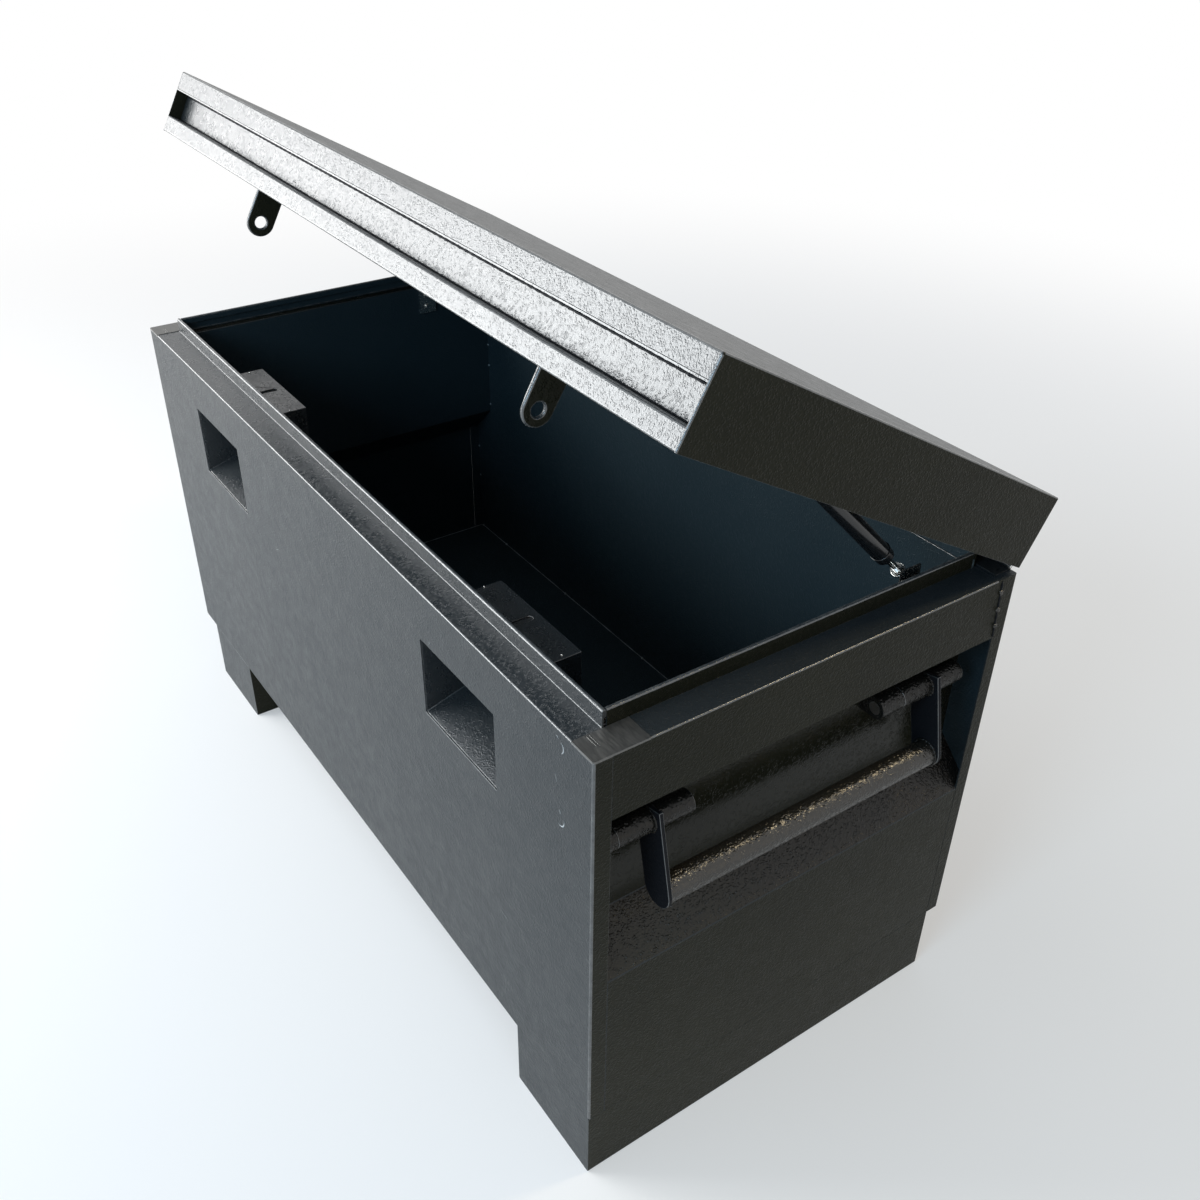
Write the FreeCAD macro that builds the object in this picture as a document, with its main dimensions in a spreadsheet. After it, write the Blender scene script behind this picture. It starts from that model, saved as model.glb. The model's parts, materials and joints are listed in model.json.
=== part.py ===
import FreeCAD
import Part
import os
import re
import Sketcher

# Steel jobsite box with a hinged lid, drop handles and gas struts. Millimetres, +Z up.
# The origin is on the floor, at the middle of the whole box as it stands with its lid part open.

document = FreeCAD.newDocument("JobsiteBox")
sheet = document.addObject("Spreadsheet::Sheet", "Sizes")

# Driving sizes: each row is one named value
sizes = {
    # body
    "bodyWidth": 1220,
    "bodyDepth": 570,
    "bodyHeight": 534,
    "steel": 2,
    "foldRadius": 2.5,
    "edgeRadius": 1.6,
    "seam": 0.3,
    "frontPost": 21.5,
    "rearPost": 19.5,
    # skids under the body
    "skidHeight": 102,
    "skidWidth": 154,
    "leftSkidInset": 47,
    "skidRearGap": 20,
    # ledge and rim round the mouth
    "frontLedge": 34,
    "sideLedge": 36,
    "rearLedge": 30,
    "rimHeight": 20,
    "hemThickness": 5,
    "hemDepth": 9,
    "hemRadius": 2,
    "cornerPlateLength": 64,
    "cornerPlateRise": 0.6,
    # recesses in the two ends, for the handles; drops are measured down from the ledge
    "recessDepth": 50,
    "recessDrop": 311.5,
    "railHeight": 81,
    "wallFlange": 30,
    # padlock windows and the lock boxes behind them
    "windowWidth": 159,
    "windowHeight": 103.5,
    "windowEdge": 179,
    "windowDrop": 169,
    "lockBoxDepth": 107,
    "lockBoxDrop": 28,
    "lockFloorRise": 32,
    "slotCentre": 66.5,
    "slotSideGap": 2,
    "slotEndGap": 11.5,
    # lid
    "restAngle": 29.3,
    "lidHeight": 86.5,
    "lowerStrip": 22.5,
    "upperStrip": 24.5,
    "channelTopDepth": 17,
    "channelFootDepth": 18,
    "frontReturn": 20,
    "rearReturn": 25,
    # hasp tabs that hang from the lid into the lock boxes
    "tabWidth": 38,
    "tabThickness": 5,
    "tabHole": 16,
    "tabDrop": 46.5,
    "tabLead": 2.2,
    # piano hinge
    "leafThickness": 1.5,
    "leafWidth": 25,
    "knuckleRadius": 3.2,
    "hingePinRadius": 1.65,
    "knucklePitch": 40,
    "knuckleGap": 0.4,
    "hingeEndGap": 10,
    "runningGap": 0.05,
    # drop handles
    "handleLean": 12.9,
    "pivotInset": 26,
    "pivotDrop": 133.5,
    "armInset": 85.3,
    "armThickness": 5,
    "armWidth": 42,
    "armTop": 15,
    "armReach": 86,
    "armCorner": 7,
    "barReach": 90.5,
    "barRadius": 16,
    "barWall": 2,
    "sleeveRadius": 13.5,
    "sleeveLength": 95,
    "handlePinRadius": 8,
    "pinShort": 5,
    "lugLength": 34,
    "lugGap": 0.4,
    "weldGap": 0.1,
    # gas struts
    "strutInset": 70,
    "ballRadius": 5,
    "ballBack": 117.4,
    "ballRise": 8,
    "lidBallReach": 431,
    "lidBallHeight": 40,
    "studRadius": 3,
    "socketRadius": 6.5,
    "socketReach": 7,
    "rodRadius": 4,
    "rodShown": 31,
    "rodLength": 230,
    "guideLength": 12,
    "tubeRadius": 11,
    "tubeWall": 1.5,
    "bladeThickness": 8,
    "bladeWidth": 16,
    "bladeBelow": 8,
    "bladeAbove": 36,
    "bladeNeck": 6,
    "openPivotGap": 0.4,
    "bracketThickness": 2.5,
    "bracketWidth": 30,
    "bracketDrop": 56,
    "bracketLip": 12,
    "bracketFoot": 22,
    "screwRadius": 3,
    "screwHeadRadius": 5.5,
    "screwHeadHeight": 3,
    "screwFoot": 10,
    "screwSpacing": 20,
}

for row, (alias, value) in enumerate(sizes.items(), start=1):
    sheet.set(f"A{row}", alias)
    sheet.set(f"B{row}", str(value))
    sheet.setAlias(f"B{row}", alias)
document.recompute()

# Sizes that follow from the driving ones, written as expressions of them
derived = {
    "halfWidth": "bodyWidth / 2",
    "rimBase": "skidHeight + bodyHeight",
    "ledgeUnder": "rimBase - steel",
    "rimTop": "rimBase + rimHeight",
    "rimX": "halfWidth - sideLedge",
    "rearRimY": "bodyDepth - rearLedge",
    "hingeZ": "rimBase + knuckleRadius",
    "lidOverhang": "lidTop * sin(restAngle) - foldRadius * (sin(restAngle) + cos(restAngle) - 1)",
    "middleY": "(bodyDepth + lidOverhang) / 2",
    "wallX": "halfWidth - recessDepth",
    "recessZ": "rimBase - recessDrop",
    "slopeZ": "recessZ + recessDepth",
    "foldShift": "steel * tan(22.5)",
    "railBottom": "rimBase - railHeight",
    "windowX": "halfWidth - windowEdge - windowWidth / 2",
    "windowZ": "rimBase - windowDrop",
    "lockTopZ": "rimBase - lockBoxDrop",
    "lockSlope": "lockFloorRise / lockBoxDepth",
    "slotWidth": "tabThickness + 2 * slotSideGap",
    "slotReach": "tabWidth / 2 + slotEndGap - slotWidth / 2",
    "lidUnder": "knuckleRadius",
    "lidTop": "knuckleRadius + lidHeight",
    "channelFoot": "lidUnder + lowerStrip",
    "channelTop": "lidTop - upperStrip",
    "tabU": "bodyDepth - slotCentre + tabLead",
    "tabHoleZ": "lidUnder - tabDrop",
    "hingeLength": "bodyWidth - 2 * hingeEndGap",
    "plateEdge": "knuckleRadius + seam",
    "knuckleBore": "hingePinRadius + runningGap",
    "pivotX": "halfWidth - pivotInset",
    "pivotZ": "rimBase - pivotDrop",
    "rearArmY": "bodyDepth - armInset - armThickness",
    "sleeveBefore": "(sleeveLength - armThickness) / 2",
    "pinBore": "handlePinRadius + runningGap",
    "strutX": "halfWidth - strutInset",
    "ballY": "bodyDepth - ballBack",
    "ballZ": "rimBase + ballRise",
    "lidBallW": "lidUnder + lidBallHeight",
    "strutRun": "lidBallReach * cos(restAngle) - lidBallW * sin(restAngle) - ballBack",
    "strutRise": "hingeZ - ballZ + lidBallReach * sin(restAngle) + lidBallW * cos(restAngle)",
    "strutLength": "sqrt(strutRun * strutRun + strutRise * strutRise)",
    "strutTilt": "atan2(strutRun; strutRise)",
    "guideStart": "socketReach + rodShown",
    "tubeStart": "guideStart + guideLength",
    "tubeEnd": "strutLength - bladeBelow - bladeNeck",
    "bracketX": "strutInset - recessDepth - steel - bracketThickness",
    "bladeEnd": "strutLength + bladeAbove - bladeWidth / 2",
}

wordPattern = re.compile(r"[A-Za-z]\w*")


def formula(text):
    """Turn words of the two lists above into an expression on the sheet."""
    def swap(match):
        word = match.group(0)
        if word in derived:
            return "(" + formula(derived[word]) + ")"
        if word in sizes:
            return "Sizes." + word
        return word
    return wordPattern.sub(swap, str(text))


def number(text):
    """The present value of an expression."""
    return float(sheet.evalExpression(formula(text)))


# Local frames: where a group of pieces sits and how it is turned at rest
xAxis = FreeCAD.Vector(1, 0, 0)
yAxis = FreeCAD.Vector(0, 1, 0)


def boxFrame():
    """Box pieces: y runs back from the front face."""
    return {"y": "-middleY", "axis": xAxis, "angle": "0"}


def lidFrame():
    """Lid pieces: the hinge axis is the origin, y is minus the reach and z is up from the axis."""
    return {"y": "bodyDepth - middleY", "z": "hingeZ", "axis": xAxis, "angle": "-restAngle"}


def handleFrame(side):
    """Handle pieces: the pivot axis is at x = 0, z = 0 and the arms hang down -Z."""
    return {"x": f"{side} * pivotX", "y": "-middleY", "z": "pivotZ", "axis": yAxis,
            "angle": f"{-side} * handleLean"}


def strutFrame(side):
    """Strut pieces: the ball on the body is the origin and the strut runs along +Z."""
    return {"x": f"{side} * strutX", "y": "ballY - middleY", "z": "ballZ", "axis": xAxis,
            "angle": "strutTilt"}


pieces = []


class Piece:
    """One sheet, bar or fitting: a body made of pads, pockets and rounds."""

    def __init__(self, label, frame):
        self.body = document.addObject("PartDesign::Body", "Body_" + label)
        self.body.Label = label
        self.body.Placement = FreeCAD.Placement(FreeCAD.Vector(), FreeCAD.Rotation(frame["axis"], 0))
        for coordinate in ("x", "y", "z"):
            if coordinate in frame:
                self.body.setExpression("Placement.Base." + coordinate, formula(frame[coordinate]))
        self.body.setExpression("Placement.Rotation.Angle", formula(frame["angle"]))
        pieces.append(self.body)

    def plane(self, role):
        for feature in self.body.Origin.OriginFeatures:
            if feature.Role == role:
                return feature

    def sketch(self, role, offset):
        sketch = self.body.newObject("Sketcher::SketchObject", "Sketch")
        sketch.AttachmentSupport = [(self.plane(role), "")]
        sketch.MapMode = "FlatFace"
        sketch.setExpression("AttachmentOffset.Base.z", formula(offset))
        return sketch

    def outline(self, role, offset, points):
        """A closed polygon; every corner is held by two distances from the origin."""
        sketch = self.sketch(role, offset)
        corners = [FreeCAD.Vector(number(across), number(up), 0) for across, up in points]
        count = len(corners)
        for index in range(count):
            sketch.addGeometry(Part.LineSegment(corners[index], corners[(index + 1) % count]))
        for index in range(count):
            sketch.addConstraint(Sketcher.Constraint("Coincident", index, 2, (index + 1) % count, 1))
        for index, (across, up) in enumerate(points):
            for kind, text, value in (("DistanceX", across, corners[index].x),
                                      ("DistanceY", up, corners[index].y)):
                held = sketch.addConstraint(Sketcher.Constraint(kind, -1, 1, index, 1, value))
                sketch.setExpression(f"Constraints[{held}]", formula(text))
        return sketch

    def circle(self, role, offset, across, up, radius):
        sketch = self.sketch(role, offset)
        centre = FreeCAD.Vector(number(across), number(up), 0)
        sketch.addGeometry(Part.Circle(centre, FreeCAD.Vector(0, 0, 1), number(radius)))
        held = sketch.addConstraint(Sketcher.Constraint("Radius", 0, number(radius)))
        sketch.setExpression(f"Constraints[{held}]", formula(radius))
        for kind, text, value in (("DistanceX", across, centre.x), ("DistanceY", up, centre.y)):
            held = sketch.addConstraint(Sketcher.Constraint(kind, -1, 1, 0, 3, value))
            sketch.setExpression(f"Constraints[{held}]", formula(text))
        return sketch

    def draw(self, role, offset, shape):
        """A shape is a list of corners, or one circle as (across, up, radius)."""
        if isinstance(shape, tuple):
            return self.circle(role, offset, *shape)
        return self.outline(role, offset, shape)

    def pad(self, role, shape, start, length):
        """Fill a shape from start to start + length, along +X, +Y or +Z."""
        offset = f"-({start} + {length})" if role == "XZ_Plane" else start
        pad = self.body.newObject("PartDesign::Pad", "Pad")
        pad.Profile = self.draw(role, offset, shape)
        pad.setExpression("Length", formula(length))
        return self

    def cut(self, role, shape, start, length):
        """Take a shape away from start to start + length, along +X, +Y or +Z."""
        offset = f"-({start})" if role == "XZ_Plane" else f"{start} + {length}"
        pocket = self.body.newObject("PartDesign::Pocket", "Pocket")
        pocket.Profile = self.draw(role, offset, shape)
        pocket.Type = "Length"
        pocket.setExpression("Length", formula(length))
        return self

    def row(self, count, spacing):
        """Repeat the last pad or pocket along +X."""
        feature = self.body.Tip
        pattern = self.body.newObject("PartDesign::LinearPattern", "Row")
        pattern.Originals = [feature]
        pattern.Direction = (self.plane("X_Axis"), [""])
        pattern.Mode = "Spacing"
        pattern.setExpression("Offset", formula(spacing))
        pattern.Occurrences = count
        self.body.Tip = pattern
        return self

    def ball(self, radius):
        """A ball at the origin, with its poles on the X axis."""
        sphere = self.body.newObject("PartDesign::AdditiveSphere", "Ball")
        sphere.AttachmentSupport = [(self.plane("YZ_Plane"), "")]
        sphere.MapMode = "FlatFace"
        sphere.setExpression("Radius", formula(radius))
        return self

    def round(self, radius, *places):
        """Round the edges that run along one axis through the given places."""
        document.recompute()
        base = self.body.Tip
        names = []
        for index, edge in enumerate(base.Shape.Edges, start=1):
            for place in places:
                if edgeRunsThrough(edge, place):
                    names.append(f"Edge{index}")
                    break
        if not names:
            raise ValueError(f"{self.body.Label}: no edge to round")
        fillet = self.body.newObject("PartDesign::Fillet", "Round")
        fillet.Base = (base, names)
        fillet.setExpression("Radius", formula(radius))
        return self


def edgeRunsThrough(edge, place):
    """A place is a dictionary of two coordinates; the edge is straight along the third."""
    if edge.Curve.TypeId != "Part::GeomLine":
        return False
    for coordinate, text in place.items():
        wanted = number(text)
        for vertex in edge.Vertexes:
            if abs(getattr(vertex.Point, coordinate) - wanted) > 0.01:
                return False
    return True


def span(left, right, low, high):
    """The four corners of a rectangle."""
    return [(left, low), (right, low), (right, high), (left, high)]


def sideSpan(side, near, far, low, high):
    """A rectangle whose horizontal coordinates are mirrored for the left side."""
    return span(f"{side} * ({near})", f"{side} * ({far})", low, high)


# Body sheets
def makeFrontPanel():
    panel = Piece("front_panel", boxFrame())
    panel.pad("XZ_Plane", span("-halfWidth", "halfWidth", "skidHeight", "ledgeUnder"), "0", "steel")
    panel.pad("YZ_Plane", span("0", "frontLedge", "ledgeUnder", "rimBase"), "-rimX", "2 * rimX")
    rim = [("frontLedge", "ledgeUnder"), ("frontLedge + steel", "ledgeUnder"),
           ("frontLedge + steel", "rimTop - hemDepth"), ("frontLedge + hemThickness", "rimTop - hemDepth"),
           ("frontLedge + hemThickness", "rimTop"), ("frontLedge", "rimTop")]
    panel.pad("YZ_Plane", rim, "-rimX", "2 * rimX")
    for start in ("halfWidth - steel", "-halfWidth"):
        panel.pad("YZ_Plane", span("0", "frontPost", "skidHeight", "ledgeUnder"), start, "steel")
    for side in (1, -1):
        window = sideSpan(side, "windowX - windowWidth / 2", "windowX + windowWidth / 2",
                          "windowZ", "windowZ + windowHeight")
        panel.cut("XZ_Plane", window, "0", "steel")
    panel.round("foldRadius", {"x": "halfWidth", "y": "0"}, {"x": "-halfWidth", "y": "0"})
    panel.round("edgeRadius", {"y": "0", "z": "rimBase"})
    panel.round("hemRadius", {"y": "frontLedge", "z": "rimTop"},
                {"y": "frontLedge + hemThickness", "z": "rimTop"})


def makeRearPanel():
    panel = Piece("rear_panel", boxFrame())
    panel.pad("XZ_Plane", span("-halfWidth", "halfWidth", "skidHeight", "ledgeUnder"),
              "bodyDepth - steel", "steel")
    panel.pad("YZ_Plane", span("rearRimY", "bodyDepth", "ledgeUnder", "rimBase"), "-halfWidth", "bodyWidth")
    rim = [("rearRimY", "ledgeUnder"), ("rearRimY - steel", "ledgeUnder"),
           ("rearRimY - steel", "rimTop - hemDepth"), ("rearRimY - hemThickness", "rimTop - hemDepth"),
           ("rearRimY - hemThickness", "rimTop"), ("rearRimY", "rimTop")]
    panel.pad("YZ_Plane", rim, "-rimX", "2 * rimX")
    for start in ("halfWidth - steel", "-halfWidth"):
        panel.pad("YZ_Plane", span("bodyDepth - rearPost", "bodyDepth", "skidHeight", "ledgeUnder"),
                  start, "steel")
    panel.round("foldRadius", {"x": "halfWidth", "y": "bodyDepth"}, {"x": "-halfWidth", "y": "bodyDepth"})
    panel.round("hemRadius", {"y": "rearRimY", "z": "rimTop"},
                {"y": "rearRimY - hemThickness", "z": "rimTop"})


def makeFloorPanel():
    panel = Piece("floor_panel", boxFrame())
    panel.pad("XY_Plane", span("steel - halfWidth", "halfWidth - steel", "steel", "bodyDepth - steel"),
              "skidHeight", "steel")


def makeSidePanel(name, side):
    """One folded sheet: lower wall, 45 degree recess floor, recess back wall and top flange."""
    panel = Piece(f"side_panel_{name}", boxFrame())
    path = [("halfWidth", "skidHeight"), ("halfWidth", "recessZ"), ("wallX", "slopeZ"),
            ("wallX", "ledgeUnder - steel"), ("wallX + wallFlange", "ledgeUnder - steel"),
            ("wallX + wallFlange", "ledgeUnder"), ("wallX - steel", "ledgeUnder"),
            ("wallX - steel", "slopeZ - foldShift"), ("halfWidth - steel", "recessZ - foldShift"),
            ("halfWidth - steel", "skidHeight")]
    outline = [(f"{side} * ({across})", up) for across, up in path]
    panel.pad("XZ_Plane", outline, "steel", "bodyDepth - 2 * steel")
    corner = sideSpan(side, "halfWidth - steel", "halfWidth", "skidHeight", "ledgeUnder")
    panel.cut("XZ_Plane", corner, "steel", "frontPost + seam - steel")
    panel.cut("XZ_Plane", corner, "bodyDepth - rearPost - seam", "rearPost + seam - steel")
    panel.round("foldRadius", {"x": f"{side} * halfWidth", "z": "recessZ"})
    panel.round("foldRadius", {"x": f"{side} * wallX", "z": "slopeZ"})


def makeTopRail(name, side):
    """Outer leg above the recess, ledge and rim of one end."""
    rail = Piece(f"top_rail_{name}", boxFrame())
    rail.pad("XZ_Plane", sideSpan(side, "halfWidth - steel", "halfWidth", "railBottom", "ledgeUnder"),
             "frontPost + seam", "bodyDepth - frontPost - rearPost - 2 * seam")
    rail.pad("XZ_Plane", sideSpan(side, "rimX", "halfWidth", "ledgeUnder", "rimBase"),
             "cornerPlateLength + seam", "rearRimY - cornerPlateLength - 2 * seam")
    path = [("rimX", "ledgeUnder"), ("rimX - steel", "ledgeUnder"), ("rimX - steel", "rimTop - hemDepth"),
            ("rimX - hemThickness", "rimTop - hemDepth"), ("rimX - hemThickness", "rimTop"),
            ("rimX", "rimTop")]
    rim = [(f"{side} * ({across})", up) for across, up in path]
    rail.pad("XZ_Plane", rim, "frontLedge + hemThickness + seam",
             "rearRimY - frontLedge - 2 * hemThickness - 2 * seam")
    rail.round("edgeRadius", {"x": f"{side} * halfWidth", "z": "rimBase"})
    rail.round("hemRadius", {"x": f"{side} * rimX", "z": "rimTop"},
               {"x": f"{side} * (rimX - hemThickness)", "z": "rimTop"})


def makeCornerPlate(name, side):
    """The ground plate that closes the front corner of the ledge."""
    plate = Piece(f"corner_plate_{name}", boxFrame())
    plate.pad("XY_Plane", sideSpan(side, "rimX + seam", "halfWidth", "0", "cornerPlateLength"),
              "ledgeUnder", "steel + cornerPlateRise")
    plate.round("foldRadius", {"x": f"{side} * halfWidth", "y": "0"})


def makeLockBox(name, side):
    """A five-sided box behind a padlock window, with the slot for the hasp tab in its top."""
    box = Piece(f"lock_box_{name}", boxFrame())
    centre = f"{side} * windowX"
    outer = [("steel", "windowZ + lockSlope * steel - steel"),
             ("lockBoxDepth", "windowZ + lockFloorRise - steel"),
             ("lockBoxDepth", "lockTopZ"), ("steel", "lockTopZ")]
    box.pad("YZ_Plane", outer, f"{centre} - windowWidth / 2 - steel", "windowWidth + 2 * steel")
    inner = [("steel", "windowZ + lockSlope * steel"),
             ("lockBoxDepth - steel", "windowZ + lockSlope * (lockBoxDepth - steel)"),
             ("lockBoxDepth - steel", "lockTopZ - steel"), ("steel", "lockTopZ - steel")]
    box.cut("YZ_Plane", inner, f"{centre} - windowWidth / 2", "windowWidth")
    slot = span(f"{centre} - slotWidth / 2", f"{centre} + slotWidth / 2",
                "slotCentre - slotReach", "slotCentre + slotReach")
    box.cut("XY_Plane", slot, "lockTopZ - steel", "steel")
    for end in ("slotCentre - slotReach", "slotCentre + slotReach"):
        box.cut("XY_Plane", (centre, end, "slotWidth / 2"), "lockTopZ - steel", "steel")


def makeSkid(name, near, far):
    """A folded runner, open at the top where the floor closes it."""
    skid = Piece(f"skid_{name}", boxFrame())
    skid.pad("XY_Plane", span(near, far, "0", "bodyDepth - skidRearGap"), "0", "skidHeight")
    hollow = span(f"{near} + steel", f"{far} - steel", "steel", "bodyDepth - skidRearGap - steel")
    skid.cut("XY_Plane", hollow, "steel", "skidHeight - steel")
    skid.round("foldRadius", {"x": near, "z": "0"}, {"x": far, "z": "0"})


# Piano hinge
def makeHingeLeaf(label, frame, direction, low, first):
    """A leaf with knuckles at every other place; direction is the sign of y away from the pin."""
    leaf = Piece(label, frame)
    knuckles = int(number("hingeLength") // number("knucklePitch"))
    count = (knuckles - first + 1) // 2
    start = f"-hingeLength / 2 + {first} * knucklePitch"
    length = "knucklePitch - knuckleGap"
    plate = span(f"{direction[0]} {direction[1]} plateEdge", f"{direction[0]} {direction[1]} leafWidth",
                 low, f"{low} + leafThickness")
    leaf.pad("YZ_Plane", plate, "-hingeLength / 2", "hingeLength")
    tongue = span(direction[0], f"{direction[0]} {direction[1]} plateEdge", low, f"{low} + leafThickness")
    leaf.pad("YZ_Plane", tongue, start, length).row(count, "2 * knucklePitch")
    axis = (direction[0], direction[2])
    leaf.pad("YZ_Plane", (axis[0], axis[1], "knuckleRadius"), start, length).row(count, "2 * knucklePitch")
    leaf.cut("YZ_Plane", (axis[0], axis[1], "knuckleBore"), "-hingeLength / 2", "hingeLength")


def makeHinge():
    makeHingeLeaf("hinge_leaf_body", boxFrame(), ("bodyDepth", "-", "hingeZ"), "rimBase", 0)
    makeHingeLeaf("hinge_leaf_lid", lidFrame(), ("0", "-", "0"), "knuckleRadius - leafThickness", 1)
    pin = Piece("hinge_pin", boxFrame())
    pin.pad("YZ_Plane", ("bodyDepth", "hingeZ", "hingePinRadius"), "-hingeLength / 2", "hingeLength")


# Lid
def makeLidTop():
    """Top sheet with the rear wall, its return and the upper front strip."""
    top = Piece("lid_top", lidFrame())
    path = [("-rearReturn", "lidUnder"), ("0", "lidUnder"), ("0", "lidTop"), ("-bodyDepth", "lidTop"),
            ("-bodyDepth", "channelTop"), ("steel - bodyDepth", "channelTop"),
            ("steel - bodyDepth", "lidTop - steel"), ("-steel", "lidTop - steel"),
            ("-steel", "lidUnder + steel"), ("-rearReturn", "lidUnder + steel")]
    top.pad("YZ_Plane", path, "steel - halfWidth", "bodyWidth - 2 * steel")
    top.round("foldRadius", {"y": "0", "z": "lidTop"}, {"y": "-bodyDepth", "z": "lidTop"})


def makeLidFront():
    """The folded finger channel along the front of the lid and the strip below it."""
    front = Piece("lid_front_channel", lidFrame())
    topInner = "channelTopDepth - bodyDepth"
    footInner = "channelFootDepth - bodyDepth"
    path = [("steel - bodyDepth", "channelTop"), ("-bodyDepth", "channelTop - seam"),
            ("-bodyDepth", "channelTop - steel"), (topInner, "channelTop - steel"),
            (footInner, "channelFoot"), ("-bodyDepth", "channelFoot"), ("-bodyDepth", "lidUnder"),
            ("frontReturn - bodyDepth", "lidUnder"), ("frontReturn - bodyDepth", "lidUnder + steel"),
            ("steel - bodyDepth", "lidUnder + steel"), ("steel - bodyDepth", "channelFoot - steel"),
            (f"{footInner} + steel", "channelFoot - steel"), (f"{footInner} + steel", "channelFoot"),
            (f"{topInner} + steel", "channelTop - steel"), (f"{topInner} + steel", "channelTop")]
    front.pad("YZ_Plane", path, "steel - halfWidth", "bodyWidth - 2 * steel")
    front.round("foldRadius", {"y": "-bodyDepth", "z": "lidUnder"}, {"y": "-bodyDepth", "z": "channelFoot"})


def makeLidSide(name, side):
    plate = Piece(f"lid_side_{name}", lidFrame())
    start = "halfWidth - steel" if side > 0 else "-halfWidth"
    plate.pad("YZ_Plane", span("-bodyDepth", "0", "lidUnder", "lidTop"), start, "steel")
    plate.round("foldRadius", {"y": "-bodyDepth", "z": "lidTop"}, {"y": "0", "z": "lidTop"})
    plate.round("edgeRadius", {"x": f"{side} * halfWidth", "z": "lidTop"})


def makeHaspTab(name, side):
    """A plate that hangs from the lid, drops through the lock box slot and takes the padlock."""
    tab = Piece(f"hasp_tab_{name}", lidFrame())
    start = f"{side} * windowX - tabThickness / 2"
    tab.pad("YZ_Plane", span("-tabU - tabWidth / 2", "tabWidth / 2 - tabU", "tabHoleZ", "lidTop - steel"),
            start, "tabThickness")
    tab.pad("YZ_Plane", ("-tabU", "tabHoleZ", "tabWidth / 2"), start, "tabThickness")
    tab.cut("YZ_Plane", ("-tabU", "tabHoleZ", "tabHole / 2"), start, "tabThickness")


# Drop handles
def makeHandle(name, side):
    frame = handleFrame(side)
    arms = (("front", "armInset"), ("rear", "rearArmY"))
    for place, start in arms:
        arm = Piece(f"handle_arm_{place}_{name}", frame)
        strip = span("-armWidth / 2", "armWidth / 2", "-armReach", "armTop")
        arm.pad("XZ_Plane", strip, start, "armThickness")
        arm.pad("XZ_Plane", ("0", "-armReach", "armWidth / 2"), start, "armThickness")
        arm.cut("XZ_Plane", ("0", "0", "sleeveRadius + weldGap"), start, "armThickness")
        arm.round("armCorner", {"x": f"{-side} * armWidth / 2", "z": "armTop"})
        sleeve = Piece(f"handle_sleeve_{place}_{name}", frame)
        sleeve.pad("XZ_Plane", ("0", "0", "sleeveRadius"), f"{start} - sleeveBefore", "sleeveLength")
        sleeve.cut("XZ_Plane", ("0", "0", "pinBore"), f"{start} - sleeveBefore", "sleeveLength")
    bar = Piece(f"handle_bar_{name}", frame)
    barStart = "armInset + armThickness"
    barLength = "bodyDepth - 2 * armInset - 2 * armThickness"
    bar.pad("XZ_Plane", ("0", "-barReach", "barRadius"), barStart, barLength)
    bar.cut("XZ_Plane", ("0", "-barReach", "barRadius - barWall"), barStart, barLength)
    for place, start in arms:
        lugStart = f"{start} - sleeveBefore - lugGap - lugLength"
        lug = Piece(f"handle_lug_{place}_{name}", boxFrame())
        foot = sideSpan(side, "wallX", "pivotX", "pivotZ - sleeveRadius", "pivotZ + sleeveRadius")
        lug.pad("XZ_Plane", foot, lugStart, "lugLength")
        lug.pad("XZ_Plane", (f"{side} * pivotX", "pivotZ", "sleeveRadius"), lugStart, "lugLength")
        lug.cut("XZ_Plane", (f"{side} * pivotX", "pivotZ", "pinBore"), lugStart, "lugLength")
        pin = Piece(f"handle_pin_{place}_{name}", boxFrame())
        pin.pad("XZ_Plane", (f"{side} * pivotX", "pivotZ", "handlePinRadius"), lugStart,
                "lugLength + lugGap + sleeveLength - pinShort")


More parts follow.
